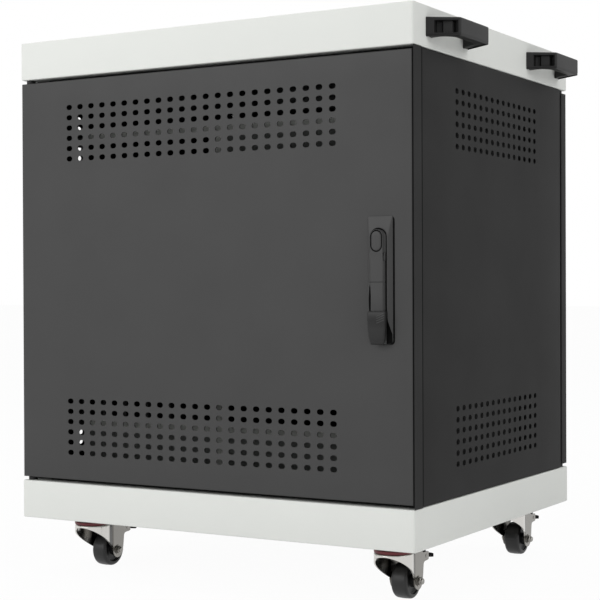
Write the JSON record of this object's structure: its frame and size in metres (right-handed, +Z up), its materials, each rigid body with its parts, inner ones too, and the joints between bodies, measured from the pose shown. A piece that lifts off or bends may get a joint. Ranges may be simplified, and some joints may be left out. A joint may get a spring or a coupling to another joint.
{
  "type": "laptop charging cart",
  "caption": "Rolling steel laptop charging cart with perforated swing-handle doors, upright device bays inside, push handles on one side and swivel casters with brakes.",
  "frame": {"origin": "on the floor under the middle of the overall box", "axes": "+Z up, -Y out of the front door, +X to the push-handle side"},
  "size_m": [0.69, 0.5788, 0.789],
  "materials": {
    "pale_steel": "pale grey powder coat, satin",
    "dark_steel": "charcoal powder coat, fine matt texture",
    "black_plastic": "moulded black nylon, matt",
    "lock_plastic": "moulded dark grey plastic, satin",
    "nickel_steel": "bright nickel-plated pressed steel",
    "zinc_steel": "zinc-plated steel",
    "red_seal": "dark red moulded dust seal",
    "wheel_tread": "moulded black nylon tread"
  },
  "bodies": {
    "cabinet": {"top_cover": "pale_steel", "base_tray": "pale_steel", "floor_panel": "dark_steel", "side_panel_left": "dark_steel", "side_panel_right": "dark_steel", "inner_wall_left": "dark_steel", "inner_wall_right": "dark_steel", "device_rack": "dark_steel", "centre_partition": "dark_steel", "upper_shelf": "dark_steel", "bay_back_wall": "dark_steel", "power_strip": "black_plastic", "mains_inlet": "black_plastic", "push_handle_front": "black_plastic", "push_handle_rear": "black_plastic", "front_lock_post": "dark_steel", "front_hinge_post": "dark_steel", "front_door_pivot_top": "zinc_steel", "front_door_pivot_bottom": "zinc_steel", "rear_lock_post": "dark_steel", "rear_hinge_post": "dark_steel", "rear_door_pivot_top": "zinc_steel", "rear_door_pivot_bottom": "zinc_steel", "caster_front_left_plate": "zinc_steel", "caster_front_left_seal": "red_seal", "caster_front_right_plate": "zinc_steel", "caster_front_right_seal": "red_seal", "caster_rear_left_plate": "zinc_steel", "caster_rear_left_seal": "red_seal", "caster_rear_right_plate": "zinc_steel", "caster_rear_right_seal": "red_seal"},
    "front_door": {"front_door": "dark_steel", "front_lock_housing": "lock_plastic"},
    "front_lock_head": {"front_lock_head": "lock_plastic", "front_lock_cam": "zinc_steel"},
    "front_lock_lever": {"front_lock_lever": "lock_plastic"},
    "front_lock_button": {"front_lock_button": "lock_plastic"},
    "rear_door": {"rear_door": "dark_steel", "rear_lock_housing": "lock_plastic"},
    "rear_lock_head": {"rear_lock_head": "lock_plastic", "rear_lock_cam": "zinc_steel"},
    "rear_lock_lever": {"rear_lock_lever": "lock_plastic"},
    "rear_lock_button": {"rear_lock_button": "lock_plastic"},
    "power_switch": {"power_switch": "black_plastic"},
    "caster_front_left_fork": {"caster_front_left_fork": "nickel_steel", "caster_front_left_axle": "zinc_steel"},
    "caster_front_left_wheel": {"caster_front_left_wheel": "wheel_tread"},
    "caster_front_left_brake": {"caster_front_left_brake": "black_plastic"},
    "caster_front_right_fork": {"caster_front_right_fork": "nickel_steel", "caster_front_right_axle": "zinc_steel"},
    "caster_front_right_wheel": {"caster_front_right_wheel": "wheel_tread"},
    "caster_front_right_brake": {"caster_front_right_brake": "black_plastic"},
    "caster_rear_left_fork": {"caster_rear_left_fork": "nickel_steel", "caster_rear_left_axle": "zinc_steel"},
    "caster_rear_left_wheel": {"caster_rear_left_wheel": "wheel_tread"},
    "caster_rear_left_brake": {"caster_rear_left_brake": "black_plastic"},
    "caster_rear_right_fork": {"caster_rear_right_fork": "nickel_steel", "caster_rear_right_axle": "zinc_steel"},
    "caster_rear_right_wheel": {"caster_rear_right_wheel": "wheel_tread"},
    "caster_rear_right_brake": {"caster_rear_right_brake": "black_plastic"}
  },
  "joints": [
    {"name": "front_door_swing", "type": "hinge", "parent": "cabinet", "child": "front_door", "pos_m": [-0.334, -0.264, 0.4365], "axis": [0, 0, -1], "range_deg": [0, 170]},
    {"name": "front_lock_turn", "type": "hinge", "parent": "front_door", "child": "front_lock_head", "pos_m": [0.2567, -0.285, 0.4835], "axis": [0, 1, 0], "range_deg": [0, 90]},
    {"name": "front_lever_lift", "type": "hinge", "parent": "front_lock_head", "child": "front_lock_lever", "pos_m": [0.2567, -0.2841, 0.4615], "axis": [-1, 0, 0], "range_deg": [0, 40]},
    {"name": "front_button_press", "type": "slide", "parent": "front_lock_head", "child": "front_lock_button", "axis": [0, 1, 0], "range_m": [0, 0.003], "stiffness_N_per_m": 400},
    {"name": "rear_door_swing", "type": "hinge", "parent": "cabinet", "child": "rear_door", "pos_m": [0.294, 0.264, 0.4365], "axis": [0, 0, -1], "range_deg": [0, 170]},
    {"name": "rear_lock_turn", "type": "hinge", "parent": "rear_door", "child": "rear_lock_head", "pos_m": [-0.2967, 0.285, 0.4835], "axis": [0, -1, 0], "range_deg": [0, 90]},
    {"name": "rear_lever_lift", "type": "hinge", "parent": "rear_lock_head", "child": "rear_lock_lever", "pos_m": [-0.2967, 0.2841, 0.4615], "axis": [1, 0, 0], "range_deg": [0, 40]},
    {"name": "rear_button_press", "type": "slide", "parent": "rear_lock_head", "child": "rear_lock_button", "axis": [0, -1, 0], "range_m": [0, 0.003], "stiffness_N_per_m": 400},
    {"name": "power_switch_rock", "type": "hinge", "parent": "cabinet", "child": "power_switch", "pos_m": [0.174, 0.1071, 0.269], "axis": [1, 0, 0], "range_deg": [-7, 7]},
    {"name": "caster_front_left_swivel", "type": "hinge", "parent": "cabinet", "child": "caster_front_left_fork", "pos_m": [-0.275, -0.197, 0.08], "axis": [0, 0, 1], "continuous": true},
    {"name": "caster_front_left_roll", "type": "hinge", "parent": "caster_front_left_fork", "child": "caster_front_left_wheel", "pos_m": [-0.275, -0.16, 0.025], "axis": [1, 0, 0], "continuous": true},
    {"name": "caster_front_left_brake_press", "type": "hinge", "parent": "caster_front_left_fork", "child": "caster_front_left_brake", "pos_m": [-0.275, -0.1355, 0.0556], "axis": [-1, 0, 0], "range_deg": [0, 12]},
    {"name": "caster_front_right_swivel", "type": "hinge", "parent": "cabinet", "child": "caster_front_right_fork", "pos_m": [0.235, -0.197, 0.08], "axis": [0, 0, 1], "continuous": true},
    {"name": "caster_front_right_roll", "type": "hinge", "parent": "caster_front_right_fork", "child": "caster_front_right_wheel", "pos_m": [0.235, -0.16, 0.025], "axis": [1, 0, 0], "continuous": true},
    {"name": "caster_front_right_brake_press", "type": "hinge", "parent": "caster_front_right_fork", "child": "caster_front_right_brake", "pos_m": [0.235, -0.1355, 0.0556], "axis": [-1, 0, 0], "range_deg": [0, 12]},
    {"name": "caster_rear_left_swivel", "type": "hinge", "parent": "cabinet", "child": "caster_rear_left_fork", "pos_m": [-0.275, 0.197, 0.08], "axis": [0, 0, 1], "continuous": true},
    {"name": "caster_rear_left_roll", "type": "hinge", "parent": "caster_rear_left_fork", "child": "caster_rear_left_wheel", "pos_m": [-0.275, 0.234, 0.025], "axis": [1, 0, 0], "continuous": true},
    {"name": "caster_rear_left_brake_press", "type": "hinge", "parent": "caster_rear_left_fork", "child": "caster_rear_left_brake", "pos_m": [-0.275, 0.2585, 0.0556], "axis": [-1, 0, 0], "range_deg": [0, 12]},
    {"name": "caster_rear_right_swivel", "type": "hinge", "parent": "cabinet", "child": "caster_rear_right_fork", "pos_m": [0.235, 0.197, 0.08], "axis": [0, 0, 1], "continuous": true},
    {"name": "caster_rear_right_roll", "type": "hinge", "parent": "caster_rear_right_fork", "child": "caster_rear_right_wheel", "pos_m": [0.235, 0.234, 0.025], "axis": [1, 0, 0], "continuous": true},
    {"name": "caster_rear_right_brake_press", "type": "hinge", "parent": "caster_rear_right_fork", "child": "caster_rear_right_brake", "pos_m": [0.235, 0.2585, 0.0556], "axis": [-1, 0, 0], "range_deg": [0, 12]}
  ]
}
